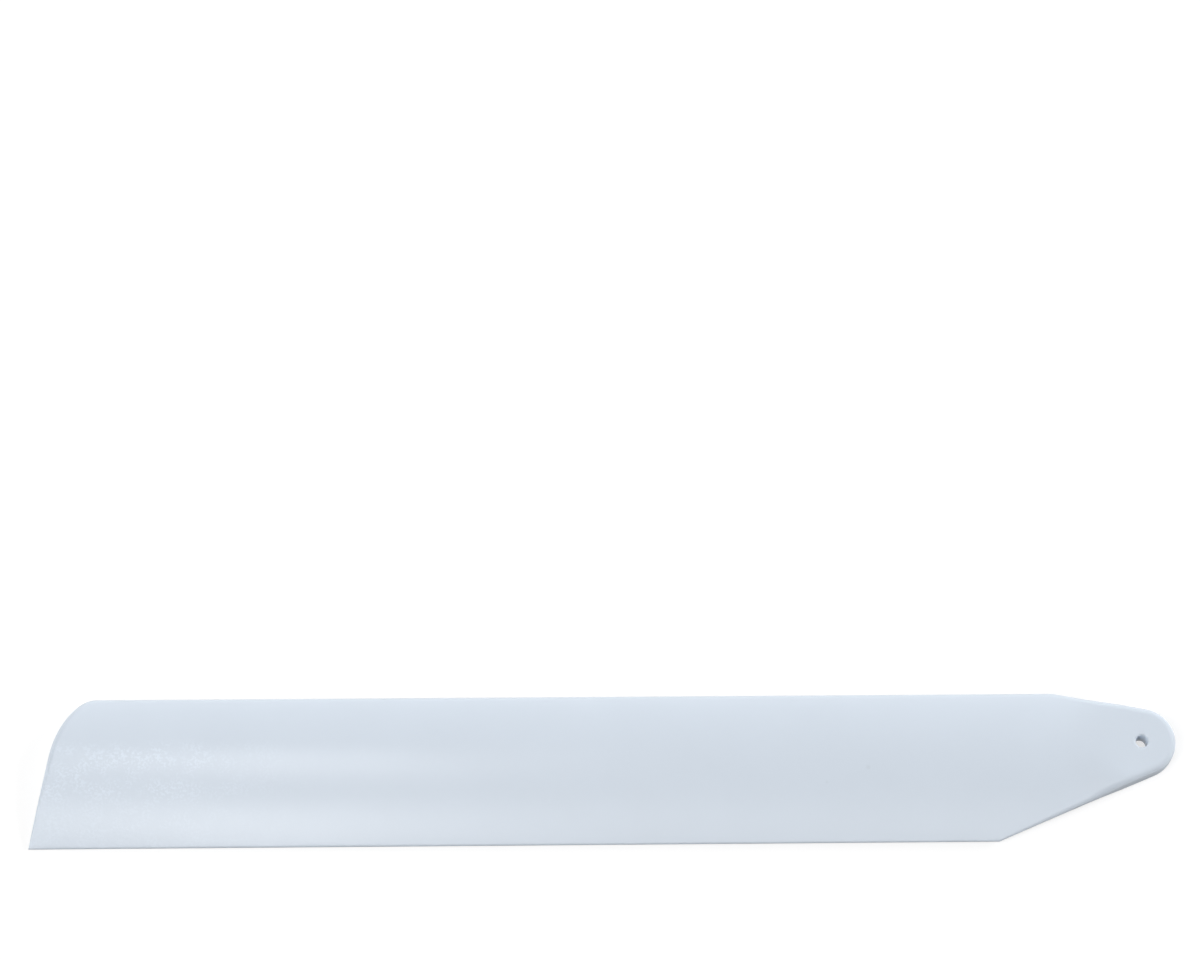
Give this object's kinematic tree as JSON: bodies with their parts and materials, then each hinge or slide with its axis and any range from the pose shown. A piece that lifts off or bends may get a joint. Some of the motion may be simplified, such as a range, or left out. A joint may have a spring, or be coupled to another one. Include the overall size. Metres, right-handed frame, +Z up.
{
  "type": "helicopter rotor blade",
  "caption": "Moulded plastic main rotor blade for a micro model helicopter, with an aerofoil section, a raked tip with a rounded corner, and a tapered root drilled for its bolt.",
  "frame": {"origin": "on the bolt hole's axis, in the plane of the root's underside, on which the blade lies", "axes": "+X out along the span from the bolt hole to the tip, +Y aft from the leading edge to the trailing edge, +Z up through the bolt hole, out of the convex upper side"},
  "size_m": [0.1402, 0.0185, 0.0025],
  "materials": {
    "moulded_plastic": "pale blue-white moulded plastic, satin, with a fine mould grain"
  },
  "bodies": {
    "root": {"rotor_blade": "moulded_plastic"}
  },
  "joints": []
}
